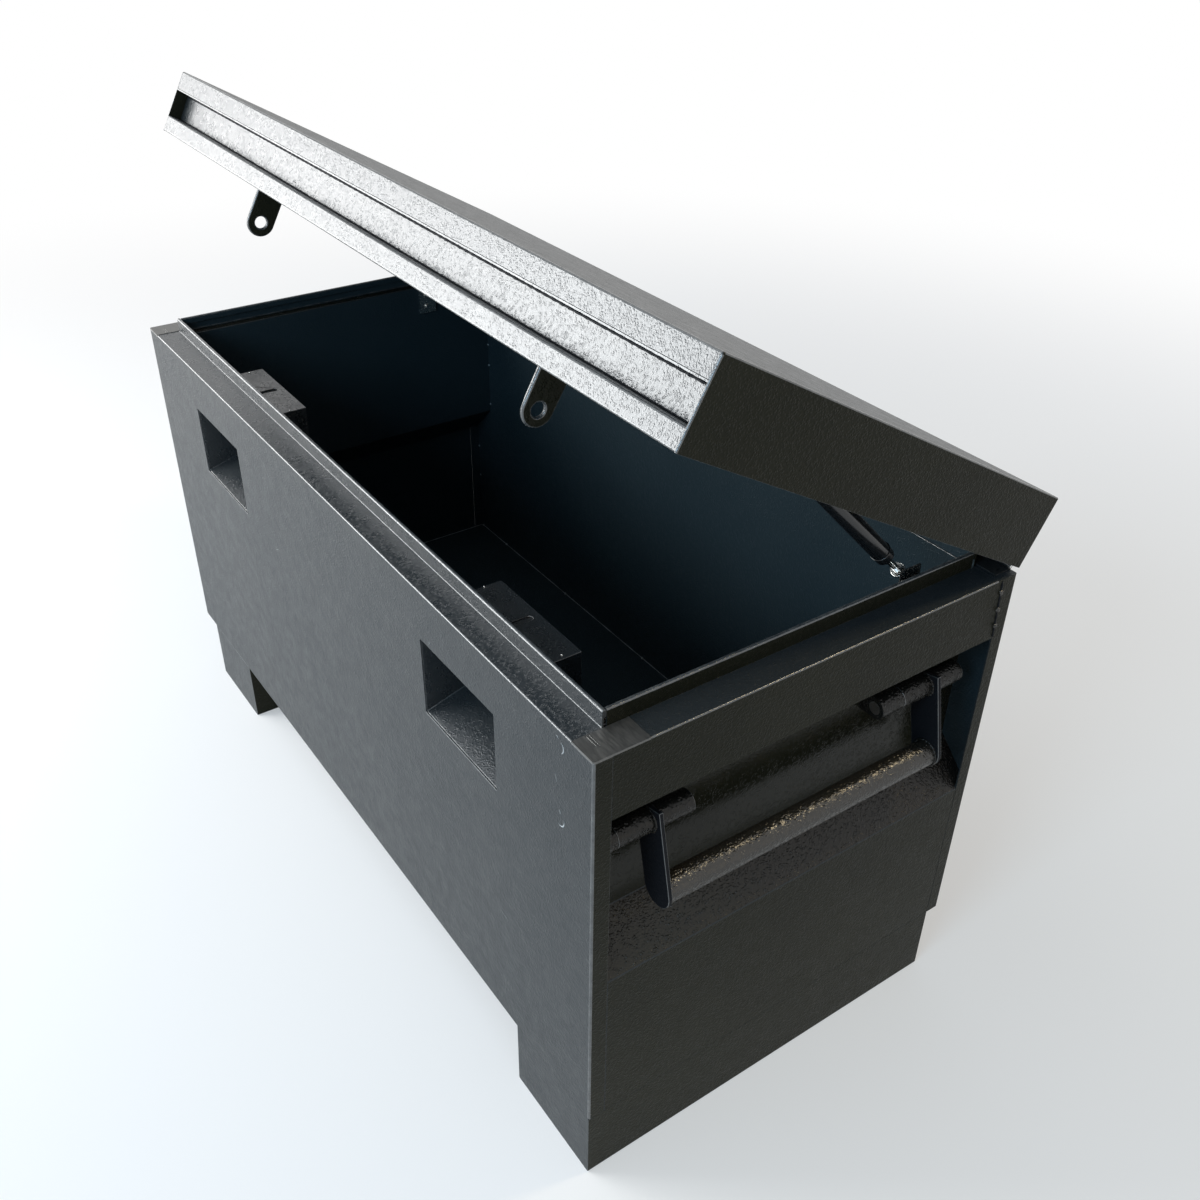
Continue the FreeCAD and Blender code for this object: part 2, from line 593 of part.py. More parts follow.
# Gas struts
def makeStrut(name, side):
    frame = strutFrame(side)
    boxStrut = {"x": f"{side} * strutX", "y": "ballY - middleY", "z": "ballZ", "axis": xAxis, "angle": "0"}

    def across(near, length):
        """Start of a pad that runs outward from the strut's plane, on either side."""
        return near if side > 0 else f"-({near} + {length})"

    plateStart = across("bracketX", "bracketThickness")
    bracket = Piece(f"strut_bracket_body_{name}", boxStrut)
    bracket.pad("YZ_Plane", span("-bracketWidth / 2", "bracketWidth / 2", "-bracketDrop", "bracketLip"),
                plateStart, "bracketThickness")
    bracket.cut("YZ_Plane", ("0", "0", "studRadius"), plateStart, "bracketThickness")
    screwPlaces = ("screwFoot - bracketDrop", "screwFoot + screwSpacing - bracketDrop")
    for hole in screwPlaces:
        bracket.cut("YZ_Plane", ("0", hole, "screwRadius + weldGap"), plateStart, "bracketThickness")
    stud = Piece(f"strut_stud_body_{name}", boxStrut)
    stud.pad("YZ_Plane", ("0", "0", "studRadius"), across("0", "bracketX + bracketThickness"),
             "bracketX + bracketThickness")
    stud.ball("ballRadius")
    screws = Piece(f"strut_screws_{name}", boxStrut)
    headStart = across("bracketX - screwHeadHeight", "screwHeadHeight")
    for hole in screwPlaces:
        screws.pad("YZ_Plane", ("0", hole, "screwHeadRadius"), headStart, "screwHeadHeight")
        screws.pad("YZ_Plane", ("0", hole, "screwRadius"), plateStart, "bracketThickness")

    socket = Piece(f"strut_socket_{name}", frame)
    socket.pad("XY_Plane", ("0", "0", "socketRadius"), "-socketRadius", "socketRadius + socketReach")
    mouth = "ballRadius + seam + socketRadius"
    socket.cut("YZ_Plane", ("0", "0", "ballRadius + runningGap"), across("-ballRadius - seam", mouth), mouth)
    rod = Piece(f"strut_rod_{name}", frame)
    rod.pad("XY_Plane", ("0", "0", "rodRadius"), "socketReach", "rodLength")
    guide = Piece(f"strut_guide_{name}", frame)
    guide.pad("XY_Plane", ("0", "0", "tubeRadius"), "guideStart", "guideLength")
    guide.cut("XY_Plane", ("0", "0", "rodRadius + runningGap"), "guideStart", "guideLength")
    tube = Piece(f"strut_tube_{name}", frame)
    tube.pad("XY_Plane", ("0", "0", "tubeRadius"), "tubeStart", "tubeEnd - tubeStart")
    tube.cut("XY_Plane", ("0", "0", "tubeRadius - tubeWall"), "tubeStart",
             "tubeEnd - tubeStart - 2 * tubeWall")
    blade = Piece(f"strut_end_{name}", frame)
    blade.pad("XY_Plane", ("0", "0", "bladeWidth / 2"), "tubeEnd", "bladeNeck")
    blade.pad("YZ_Plane", span("-bladeWidth / 2", "bladeWidth / 2", "tubeEnd + bladeNeck", "bladeEnd"),
              "-bladeThickness / 2", "bladeThickness")
    blade.pad("YZ_Plane", ("0", "bladeEnd", "bladeWidth / 2"), "-bladeThickness / 2", "bladeThickness")

    lidStrut = {"x": f"{side} * strutX", "y": "bodyDepth - middleY", "z": "hingeZ", "axis": xAxis,
                "angle": "-restAngle"}
    hanger = Piece(f"strut_bracket_lid_{name}", lidStrut)
    left = "-lidBallReach - bracketWidth / 2"
    right = "bracketWidth / 2 - lidBallReach"
    hanger.pad("YZ_Plane", span(left, right, "lidBallW - bracketLip", "lidTop - steel"),
               plateStart, "bracketThickness")
    hanger.pad("YZ_Plane", span(left, right, "lidTop - steel - bracketThickness", "lidTop - steel"),
               across("bracketX", "bracketFoot"), "bracketFoot")
    studStart = "bladeThickness / 2 + openPivotGap"
    lidStud = Piece(f"strut_stud_lid_{name}", lidStrut)
    lidStud.pad("YZ_Plane", ("-lidBallReach", "lidBallW", "ballRadius"),
                across(studStart, f"bracketX - ({studStart})"), f"bracketX - ({studStart})")


makeFrontPanel()
makeRearPanel()
makeFloorPanel()
makeHinge()
makeLidTop()
makeLidFront()
makeSkid("right", "halfWidth - skidWidth", "halfWidth")
makeSkid("left", "leftSkidInset - halfWidth", "leftSkidInset + skidWidth - halfWidth")
for sideName, sideSign in (("right", 1), ("left", -1)):
    makeSidePanel(sideName, sideSign)
    makeTopRail(sideName, sideSign)
    makeCornerPlate(sideName, sideSign)
    makeLockBox(sideName, sideSign)
    makeLidSide(sideName, sideSign)
    makeHaspTab(sideName, sideSign)
    makeHandle(sideName, sideSign)
    makeStrut(sideName, sideSign)

document.recompute()

# Every object and every piece has to be sound before anything is written
for item in document.Objects:
    if "Invalid" in item.State or "Error" in item.State:
        raise ValueError(f"{item.Label} is not valid: {item.State}")
for piece in pieces:
    if piece.Shape.isNull() or not piece.Shape.isValid():
        raise ValueError(f"{piece.Label} has no valid shape")

os.makedirs("parts", exist_ok=True)
for piece in pieces:
    piece.Shape.exportStep(f"parts/{piece.Label}.step")
print(len(pieces), "pieces written")
for name in ("strutLength", "strutTilt", "middleY"):
    print(name, round(number(name), 3))
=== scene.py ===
import json
import math

import bmesh
import bpy
import numpy as np
from mathutils import Euler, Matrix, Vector


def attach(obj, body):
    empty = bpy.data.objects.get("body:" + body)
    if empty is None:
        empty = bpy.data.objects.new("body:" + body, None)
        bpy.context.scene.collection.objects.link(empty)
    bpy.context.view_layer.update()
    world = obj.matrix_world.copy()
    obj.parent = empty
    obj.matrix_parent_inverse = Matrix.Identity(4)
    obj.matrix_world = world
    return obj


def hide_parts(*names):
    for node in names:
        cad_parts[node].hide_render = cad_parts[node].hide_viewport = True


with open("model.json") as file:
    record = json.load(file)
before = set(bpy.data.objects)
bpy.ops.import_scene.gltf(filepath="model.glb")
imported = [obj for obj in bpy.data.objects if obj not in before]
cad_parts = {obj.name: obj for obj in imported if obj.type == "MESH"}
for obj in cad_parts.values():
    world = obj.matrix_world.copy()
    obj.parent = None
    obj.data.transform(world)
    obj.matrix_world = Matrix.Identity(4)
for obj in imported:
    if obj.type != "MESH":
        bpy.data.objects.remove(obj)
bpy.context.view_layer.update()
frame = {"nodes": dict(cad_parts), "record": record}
bodyNodes = frame["record"]["behaviour"]["bodies"]
nodeBody = {node: body for body, members in bodyNodes.items() for node in members}
nodeSlot = {name: node.data.materials[0].name.split(".")[0] for name, node in frame["nodes"].items()}
print("frame loaded:", len(frame["nodes"]), "steel pieces")


# Camera, at the photograph's place
cameraView = {
    "place": (1.28416, -0.77572, 1.36034),
    "turn": (55.6595, -1.1187, 54.9048),    # degrees about x, y, z
    "lens": 36.821,                         # mm
    "sensor": 36,                           # mm
    "shift": (-0.01128, 0.00974),           # shares of the picture's width
    "clip": (0.05, 100),                    # metres, nearest and farthest
}


def makeCamera(view):
    lens = bpy.data.cameras.new("camera")
    lens.lens = view["lens"]
    lens.sensor_width = view["sensor"]
    lens.shift_x, lens.shift_y = view["shift"]
    lens.clip_start, lens.clip_end = view["clip"]
    camera = bpy.data.objects.new("camera", lens)
    camera.location = view["place"]
    camera.rotation_euler = Euler([math.radians(a) for a in view["turn"]], "XYZ")
    bpy.context.scene.collection.objects.link(camera)
    bpy.context.scene.camera = camera


makeCamera(cameraView)
bpy.context.scene.view_settings.view_transform = "Standard"
print("camera made")


# Studio: floor, white surround and soft lamps
studio = {
    "floorColour": (0.90, 0.865, 0.83, 1),
    "floorGlow": 0.34,          # share of plain white that the camera sees in the floor near the box
    "glowReach": (1.0, 3.6),    # metres from the middle, between which that share grows to 1
    "floorSize": 60.0,
    "skyColour": (0.66, 0.82, 1.0, 1),
    "skyLevel": 0.38,           # what lights the object; the camera and gloss see white
    "lamps": (
        # name, place, aimed at, width, height, watts, colour
        ("doorLight", (-1.60, -2.28, 1.20), (0.4, -0.28, 0.93), 1.4, 2.2, 76, (0.95, 0.985, 1.0)),
        ("midLight", (-3.00, -1.85, 1.15), (0.0, -0.28, 0.93), 1.4, 2.2, 48, (1.0, 1.0, 1.0)),
        ("farLight", (-4.00, -1.40, 1.15), (-0.5, -0.28, 0.93), 1.4, 2.0, 18, (1.0, 1.0, 1.0)),
        ("topLight", (-0.6, -1.2, 3.6), (0.0, -0.2, 0.5), 2.6, 2.0, 28, (0.82, 0.91, 1.0)),
        ("backTopLight", (0.98, 1.45, 2.55), (0.6, 0.0, 0.45), 0.32, 0.42, 15, (1.0, 0.80, 0.48)),
        ("sideFill", (3.4, 0.5, 1.2), (0.6, 0.0, 0.4), 1.6, 1.6, 3, (1.0, 0.80, 0.50)),
        ("openingLight", (1.30, -2.90, 2.30), (0.0, 0.1, 0.2), 1.2, 1.2, 42, (0.45, 0.74, 1.0)),
    ),
}


def seenDirectly(nodes, links):
    # camera, glossy and transmission rays, as one factor
    path = nodes.new("ShaderNodeLightPath")
    first = nodes.new("ShaderNodeMath")
    first.operation = "MAXIMUM"
    second = nodes.new("ShaderNodeMath")
    second.operation = "MAXIMUM"
    links.new(path.outputs["Is Camera Ray"], first.inputs[0])
    links.new(path.outputs["Is Glossy Ray"], first.inputs[1])
    links.new(first.outputs[0], second.inputs[0])
    links.new(path.outputs["Is Transmission Ray"], second.inputs[1])
    return second.outputs[0]


def makeSurround(look):
    world = bpy.data.worlds.new("surround")
    world.use_nodes = True
    nodes, links = world.node_tree.nodes, world.node_tree.links
    nodes.clear()
    out = nodes.new("ShaderNodeOutputWorld")
    mix = nodes.new("ShaderNodeMixShader")
    light = nodes.new("ShaderNodeBackground")
    light.inputs["Color"].default_value = look["skyColour"]
    light.inputs["Strength"].default_value = look["skyLevel"]
    white = nodes.new("ShaderNodeBackground")
    white.inputs["Color"].default_value = (1, 1, 1, 1)
    white.inputs["Strength"].default_value = 1.0
    links.new(seenDirectly(nodes, links), mix.inputs[0])
    links.new(light.outputs[0], mix.inputs[1])
    links.new(white.outputs[0], mix.inputs[2])
    links.new(mix.outputs[0], out.inputs[0])
    bpy.context.scene.world = world


def makeFloor(look):
    # one square whose glow, as the camera sees it, grows with the distance from the box
    half = look["floorSize"] / 2
    mesh = bpy.data.meshes.new("floor")
    corners = [(-half, -half, 0), (half, -half, 0), (half, half, 0), (-half, half, 0)]
    mesh.from_pydata(corners, [], [(0, 1, 2, 3)])
    floor = bpy.data.objects.new("floor", mesh)
    bpy.context.scene.collection.objects.link(floor)
    material = bpy.data.materials.new("paleFloor")
    material.use_nodes = True
    nodes, links = material.node_tree.nodes, material.node_tree.links
    nodes.clear()
    out = nodes.new("ShaderNodeOutputMaterial")
    mix = nodes.new("ShaderNodeMixShader")
    share = nodes.new("ShaderNodeMath")
    share.operation = "MULTIPLY"
    place = nodes.new("ShaderNodeTexCoord")
    distance = nodes.new("ShaderNodeVectorMath")
    distance.operation = "LENGTH"
    reach = nodes.new("ShaderNodeMapRange")
    reach.interpolation_type = "SMOOTHSTEP"
    reach.inputs["From Min"].default_value, reach.inputs["From Max"].default_value = look["glowReach"]
    reach.inputs["To Min"].default_value = look["floorGlow"]
    reach.inputs["To Max"].default_value = 1.0
    links.new(place.outputs["Object"], distance.inputs[0])
    links.new(distance.outputs["Value"], reach.inputs["Value"])
    links.new(reach.outputs["Result"], share.inputs[1])
    diffuse = nodes.new("ShaderNodeBsdfDiffuse")
    diffuse.inputs["Color"].default_value = look["floorColour"]
    glow = nodes.new("ShaderNodeEmission")
    glow.inputs["Strength"].default_value = 1.0
    links.new(seenDirectly(nodes, links), share.inputs[0])
    links.new(share.outputs[0], mix.inputs[0])
    links.new(diffuse.outputs[0], mix.inputs[1])
    links.new(glow.outputs[0], mix.inputs[2])
    links.new(mix.outputs[0], out.inputs[0])
    mesh.materials.append(material)


def makeLamps(look):
    for name, place, target, width, height, watts, colour in look["lamps"]:
        lamp = bpy.data.lights.new(name, "AREA")
        lamp.shape = "RECTANGLE"
        lamp.size, lamp.size_y = width, height
        lamp.energy = watts
        lamp.color = colour
        holder = bpy.data.objects.new(name, lamp)
        holder.location = place
        holder.rotation_mode = "QUATERNION"
        holder.rotation_quaternion = (Vector(target) - Vector(place)).to_track_quat("-Z", "Y")
        holder.visible_camera = False
        bpy.context.scene.collection.objects.link(holder)


makeSurround(studio)
makeFloor(studio)
makeLamps(studio)
print("studio made")


# Finishes. Lengths of the relief are in metres, scales in cells per metre
coat = {
    "colour": (0.022, 0.026, 0.028, 1),
    "worn": (0.031, 0.034, 0.035, 1),    # second colour, in broad patches
    "patchScale": 2.2,
    "roughness": (0.34, 0.44),
    "specular": 0.22,
    "peelScale": 430,
    "peelHeight": 0.00032,
    "softShare": 0.7,                    # of smooth noise in the relief
}
# where the door's light strikes
brightCoat = dict(coat, specular=1.0, roughness=(0.26, 0.30), peelScale=520, peelHeight=0.00022)
# round bars and weld beads
hammeredCoat = dict(coat, colour=(0.018, 0.015, 0.011, 1), worn=(0.026, 0.022, 0.016, 1), specular=0.6,
                    roughness=(0.20, 0.28), peelScale=330, peelHeight=0.0007)
# a darker, less glossy copy of the bar's coat for the sleeves, lugs and handle welds: painted shade
shadedSleeveCoat = dict(hammeredCoat, specular=0.25, colour=(0.012, 0.011, 0.009, 1))
# folds and cut edges: lighter and glossier than the coat, partly worn paint and partly a painted highlight
rubbedAndHighlightCoat = dict(coat, colour=(0.045, 0.047, 0.048, 1), worn=(0.10, 0.10, 0.095, 1), patchScale=90,
                  specular=1.0, roughness=(0.16, 0.26), peelHeight=0.00015)
# the ends, with their recesses' walls and slopes: darker and warmer copies of the coat, as painted shade
paintedEndShadeCoat = dict(coat, colour=(0.015, 0.0145, 0.0085, 1), worn=(0.023, 0.022, 0.013, 1), specular=0.08,
                roughness=(0.30, 0.40), peelHeight=0.00045)
recessCoat = dict(paintedEndShadeCoat, specular=0.13, roughness=(0.10, 0.16), peelHeight=0.00012)
slopeCoat = dict(paintedEndShadeCoat, colour=(0.015, 0.0125, 0.010, 1), specular=0.28, roughness=(0.20, 0.28),
                 peelHeight=0.0008)
# the inside: bluer and a little lighter than the coat, as a painted bluish light
innerBlueLightCoat = dict(coat, colour=(0.024, 0.037, 0.043, 1), worn=(0.031, 0.045, 0.051, 1), specular=0.2)
# a near-black copy of the coat for the handle arms, the post gaps and the channel's lines: painted shade
paintedShadeCoat = dict(coat, colour=(0.005, 0.006, 0.008, 1), worn=(0.010, 0.011, 0.013, 1), specular=0.12,
                roughness=(0.6, 0.7))
coats = {
    "charcoal": coat, "bright": brightCoat, "hammered": hammeredCoat, "rubbed": rubbedAndHighlightCoat,
    "matt": paintedEndShadeCoat, "recess": recessCoat, "slope": slopeCoat, "inner": innerBlueLightCoat,
    "sleeve": shadedSleeveCoat, "deep": paintedShadeCoat,
}
# What all coats share. A pair is the span of a noise, or of a cell's distance, that a range maps
coatPattern = {
    "patch": (0.35, 0.7),
    "glossScale": 60,            # of the noise that varies the roughness
    "gloss": (0.3, 0.7),
    "detail": 3.0,
    "rough": 0.6,
    "cellSmoothness": 0.25,
    "valley": (0.30, 0.66),
    "maskScale": 0.45,           # share of the peel's scale
    "mask": (0.4, 0.62),
    "maskLow": 0.15,             # depth of the valleys where they are faintest
    "softScale": 0.8,            # share of the peel's scale
    "softDistortion": 0.2,
    "fineDetail": 1.0,           # of the mask and the smooth noise
}
metals = {
    # colour, second colour, metallic, roughness low and high, grain stretched along x, y, z
    "groundSteel": ((0.115, 0.113, 0.108, 1), (0.175, 0.170, 0.160, 1), 0.75, (0.30, 0.44), (14, 90, 90)),
    "zincPlate": ((0.60, 0.61, 0.60, 1), (0.78, 0.78, 0.75, 1), 1.0, (0.16, 0.32), (60, 60, 60)),
    "brightRod": ((0.55, 0.56, 0.57, 1), (0.66, 0.66, 0.66, 1), 1.0, (0.07, 0.12), (400, 400, 400)),
    "strutBlack": ((0.007, 0.008, 0.009, 1), (0.013, 0.014, 0.015, 1), 0.0, (0.12, 0.2), (50, 50, 50)),
    "pinSteel": ((0.30, 0.29, 0.28, 1), (0.42, 0.41, 0.39, 1), 1.0, (0.28, 0.42), (200, 40, 200)),
    "hingePlate": ((0.035, 0.036, 0.036, 1), (0.075, 0.075, 0.073, 1), 0.6, (0.26, 0.4), (60, 60, 60)),
    "scuffed": ((0.24, 0.26, 0.27, 1), (0.42, 0.43, 0.42, 1), 0.0, (0.45, 0.6), (300, 300, 300)),
}
metalPattern = {
    "scale": 5.0,
    "detail": 4.0,
    "rough": 0.6,
    "shade": (0.32, 0.68),       # span of the noise over which the colours mix
    "gloss": (0.3, 0.7),         # and over which the roughness changes
    "relief": 0.00003,
}


def newFinish(name):
    material = bpy.data.materials.new(name)
    material.use_nodes = True
    nodes, links = material.node_tree.nodes, material.node_tree.links
    shader = next(n for n in nodes if n.type == "BSDF_PRINCIPLED")
    place = nodes.new("ShaderNodeTexCoord")
    return material, nodes, links, shader, place.outputs["Object"]


def noise(nodes, links, place, scale, detail, rough=0.5, distortion=0.0):
    texture = nodes.new("ShaderNodeTexNoise")
    texture.inputs["Scale"].default_value = scale
    texture.inputs["Detail"].default_value = detail
    texture.inputs["Roughness"].default_value = rough
    texture.inputs["Distortion"].default_value = distortion
    links.new(place, texture.inputs["Vector"])
    return texture.outputs["Fac"]


def cells(nodes, links, place, scale, smoothness):
    texture = nodes.new("ShaderNodeTexVoronoi")
    texture.feature = "SMOOTH_F1"
    texture.inputs["Scale"].default_value = scale
    texture.inputs["Smoothness"].default_value = smoothness
    links.new(place, texture.inputs["Vector"])
    return texture.outputs["Distance"]


def calculate(nodes, links, operation, first, second):
    answer = nodes.new("ShaderNodeMath")
    answer.operation = operation
    for socket, value in ((answer.inputs[0], first), (answer.inputs[1], second)):
        if isinstance(value, float):
            socket.default_value = value
        else:
            links.new(value, socket)
    return answer.outputs[0]


def mapRange(nodes, links, value, low, high, toLow, toHigh):
    ranged = nodes.new("ShaderNodeMapRange")
    for key, number in (("From Min", low), ("From Max", high), ("To Min", toLow), ("To Max", toHigh)):
        ranged.inputs[key].default_value = number
    links.new(value, ranged.inputs["Value"])
    return ranged.outputs["Result"]


def mixColour(nodes, links, share, first, second):
    mix = nodes.new("ShaderNodeMix")
    mix.data_type = "RGBA"
    links.new(share, mix.inputs[0])
    mix.inputs[6].default_value = first
    mix.inputs[7].default_value = second
    return mix.outputs[2]


def bump(nodes, links, shader, height, distance):
    relief = nodes.new("ShaderNodeBump")
    relief.inputs["Strength"].default_value = 1.0
    relief.inputs["Distance"].default_value = distance
    links.new(height, relief.inputs["Height"])
    links.new(relief.outputs["Normal"], shader.inputs["Normal"])


def makeCoat(name, look, pattern):
    # hammered powder coat: flat-topped cells with dark valleys here and there, over faint broad patches
    material, nodes, links, shader, place = newFinish(name)
    patch = noise(nodes, links, place, look["patchScale"], pattern["detail"], pattern["rough"])
    patchShare = mapRange(nodes, links, patch, *pattern["patch"], 0.0, 1.0)
    links.new(mixColour(nodes, links, patchShare, look["colour"], look["worn"]), shader.inputs["Base Color"])
    gloss = noise(nodes, links, place, pattern["glossScale"], pattern["detail"], pattern["rough"])
    roughness = mapRange(nodes, links, gloss, *pattern["gloss"], *look["roughness"])
    links.new(roughness, shader.inputs["Roughness"])
    shader.inputs["Specular IOR Level"].default_value = look["specular"]
    scale = look["peelScale"]
    cell = cells(nodes, links, place, scale, pattern["cellSmoothness"])
    valleys = mapRange(nodes, links, cell, *pattern["valley"], 1.0, 0.0)
    broad = noise(nodes, links, place, scale * pattern["maskScale"], pattern["fineDetail"])
    mask = mapRange(nodes, links, broad, *pattern["mask"], pattern["maskLow"], 1.0)
    soft = noise(nodes, links, place, scale * pattern["softScale"], pattern["fineDetail"],
                 distortion=pattern["softDistortion"])
    height = calculate(nodes, links, "ADD", calculate(nodes, links, "MULTIPLY", valleys, mask),
                       calculate(nodes, links, "MULTIPLY", soft, look["softShare"]))
    bump(nodes, links, shader, height, look["peelHeight"])
    return material


def makeMetal(name, first, second, metallic, rough, grain, pattern):
    # plated or ground steel: noise stretched by a Mapping node mixes two shades and the roughness
    material, nodes, links, shader, place = newFinish(name)
    stretch = nodes.new("ShaderNodeMapping")
    stretch.inputs["Scale"].default_value = grain
    links.new(place, stretch.inputs["Vector"])
    streak = noise(nodes, links, stretch.outputs["Vector"], pattern["scale"], pattern["detail"],
                   pattern["rough"])
    share = mapRange(nodes, links, streak, *pattern["shade"], 0.0, 1.0)
    links.new(mixColour(nodes, links, share, first, second), shader.inputs["Base Color"])
    links.new(mapRange(nodes, links, streak, *pattern["gloss"], *rough), shader.inputs["Roughness"])
    shader.inputs["Metallic"].default_value = metallic
    bump(nodes, links, shader, streak, pattern["relief"])
    return material


finishes = {name: makeCoat(f"{name}Coat", look, coatPattern) for name, look in coats.items()}
for metal, look in metals.items():
    finishes[metal] = makeMetal(metal, *look, metalPattern)
slotFinish = {
    "charcoal_coat": "charcoal", "ground_coat": "groundSteel", "zinc_plate": "zincPlate",
    "bright_rod": "brightRod", "strut_black": "strutBlack", "pin_steel": "pinSteel",
}
for node, slot in nodeSlot.items():
    materials = frame["nodes"][node].data.materials
    materials.clear()
    materials.append(finishes["hingePlate" if node.startswith("hinge_leaf") else slotFinish[slot]])
print("finishes made:", len(finishes))


# Folded and cut sheets get the small round that a coat leaves on every edge
easedEdges = {
    "width": 0.0018,       # of folds; cut edges of the sheet get cutShare of it
    "cutShare": 0.4,
    "segments": 2,
    "angle": 32,           # degrees between two faces that count as an edge
    "flatAngle": 0.4,      # degrees under which two faces become one
    "merge": 0.00001,      # distance within which vertices become one
    "normalWeight": 60,
    "slim": 0.0024,        # narrower faces take the edge's finish
    "cutWidth": 0.0048,    # an edge beside a narrower face is a cut one
    "shortest": 0.03,      # faces with no longer edge than this count as wide
    "square": 0.9,         # cosine over which a face looks squarely along a direction
    "turned": 0.6,         # and over which it looks more that way than another
    "inward": 0.05,        # a face looks inward if its normal times the way to the middle is over this
    "ledgeFrom": 0.630,    # height of the front ledge and rim, which the door's light strikes
    "recessFrom": 0.29,    # height from which the ends' own walls are those of the recess
    "recessX": 0.556,      # how far out the cheeks of the recesses begin
    "lidFront": (0.0, -0.872, 0.489),
    "bright": ("lid_front_channel", "lock_box_right", "lock_box_left"),
    "walls": ("rear_panel", "side_panel", "floor_panel", "front_panel", "top_rail"),
    # the arms take the near-black copy of the coat as painted shade, the sleeves and lugs the sleeves' darker
    # copy, also painted shade
    "coats": {
        "handle_bar": "hammered", "handle_sleeve": "sleeve", "handle_lug": "sleeve", "handle_arm": "deep",
    },
    "dullEdges": ("side_panel", "skid", "rear_panel", "floor_panel"),    # these keep the plain coat there
    "round": ("handle_bar", "handle_sleeve", "handle_lug"),              # their narrow facets aren't edges
}
faceOrder = ("plain", "edge", "bright", "matt", "inner", "recess", "slope")    # a piece's material slots


def faceFinish(node, face, look):
    # which of a piece's finishes a face takes: where the door's light strikes, the ends with their painted
    # shade, the inside with its painted bluish light, or plain
    middle, normal = face.calc_center_median(), face.normal
    if node in look["bright"]:
        return "bright"
    if node == "lid_top" and normal.dot(Vector(look["lidFront"])) > look["square"]:
        return "bright"
    if node == "front_panel" and middle.z > look["ledgeFrom"]:
        return "bright"
    inward = normal.dot(Vector((-middle.x, -middle.y, 0.0))) > look["inward"] or node == "floor_panel"
    inRecess = abs(middle.x) > look["recessX"] and abs(normal.y) > look["turned"]
    if node.startswith(look["walls"]) and inward:
        return "matt" if inRecess else "inner"
    if node.startswith("side_panel") and middle.z > look["recessFrom"]:
        return "recess" if abs(normal.x) > look["square"] else "slope"
    if abs(normal.x) > look["turned"] and not node.startswith("handle"):
        return "matt"
    return "plain"


def faceWidth(face, look):
    # area over the longest edge; short faces count as wide
    longest = max(edge.calc_length() for edge in face.edges)
    return face.calc_area() / longest if longest > look["shortest"] else math.inf


def camel(node):
    words = node.split("_")
    return words[0] + "".join(word.capitalize() for word in words[1:])


def easeNode(node, look):
    # a merged copy of the sheet: flat faces joined, edges rounded, and flat faces shaded flat
    mesh = frame["nodes"][node].data.copy()
    mesh.name = camel(node)
    work = bmesh.new()
    work.from_mesh(mesh)
    bmesh.ops.remove_doubles(work, verts=work.verts, dist=look["merge"])
    bmesh.ops.dissolve_limit(work, angle_limit=math.radians(look["flatAngle"]),
                             verts=work.verts, edges=work.edges)
    plain = next((finish for start, finish in look["coats"].items() if node.startswith(start)), "charcoal")
    # edges take the lighter coat, partly worn paint and partly a painted highlight
    edgeFinish = "charcoal" if node.startswith(look["dullEdges"]) else "rubbed"
    mesh.materials.clear()
    for finish in (plain, edgeFinish, *faceOrder[2:]):
        mesh.materials.append(finishes[finish])
    slim = 0.0 if node.startswith(look["round"]) else look["slim"]
    for face in work.faces:
        face.smooth = True
        kind = "edge" if faceWidth(face, look) < slim else faceFinish(node, face, look)
        face.material_index = faceOrder.index(kind)
    reach = work.edges.layers.float.new("bevel_weight_edge")
    for edge in work.edges:
        edge.smooth = True
        if len(edge.link_faces) == 2 and edge.calc_face_angle() > math.radians(look["angle"]):
            cut = min(faceWidth(face, look) for face in edge.link_faces) < look["cutWidth"]
            edge[reach] = look["cutShare"] if cut else 1.0
    work.to_mesh(mesh)
    work.free()
    if mesh.has_custom_normals:
        mesh.normals_split_custom_set([(0.0, 0.0, 0.0)] * len(mesh.loops))
    piece = bpy.data.objects.new(camel(node), mesh)
    bpy.context.scene.collection.objects.link(piece)
    bevel = piece.modifiers.new("easedEdge", "BEVEL")
    bevel.width = look["width"]
    bevel.segments = look["segments"]
    bevel.limit_method = "WEIGHT"
    bevel.use_clamp_overlap = True
    bevel.material = faceOrder.index("edge")
    flat = piece.modifiers.new("flatFaces", "WEIGHTED_NORMAL")
    flat.weight = look["normalWeight"]
    flat.keep_sharp = True
    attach(piece, nodeBody[node])
    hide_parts(node)


coatedNodes = [node for node, slot in nodeSlot.items() if slot == "charcoal_coat"]
for node in coatedNodes:
    easeNode(node, easedEdges)
print("edges eased on", len(coatedNodes), "pieces")


# Weld beads, seams and small fittings
beadShape = {
    "steep": 0.9,            # share of z in a bead's direction over which its sides are set from x
    "endSize": 0.35,         # share of the full radius at an open end
    "endGrowth": 0.5,        # and how much each step from there adds
    "dotReach": 1.45,        # radians of a dot's ball above and below its middle
    "dotGrid": (7, 8),       # rings, and points in each
}
bothEnds = (("Right", 1), ("Left", -1))    # names, with the sign of x


def link(name, mesh, finish, body):
    for face in mesh.polygons:
        face.use_smooth = True
    mesh.materials.append(finishes[finish])
    piece = bpy.data.objects.new(name, mesh)
    bpy.context.scene.collection.objects.link(piece)
    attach(piece, body)
    return piece


def gridFaces(rows, columns, start, closed):
    # quads of a grid whose columns wrap round, and whose rows do too where closed
    last = rows if closed else rows - 1
    row, column = np.meshgrid(np.arange(last), np.arange(columns), indexing="ij")
    nextRow, nextColumn = (row + 1) % rows, (column + 1) % columns
    quads = np.stack([row * columns + column, nextRow * columns + column,
                      nextRow * columns + nextColumn, row * columns + nextColumn], axis=-1)
    return (quads.reshape(-1, 4) + start).tolist()


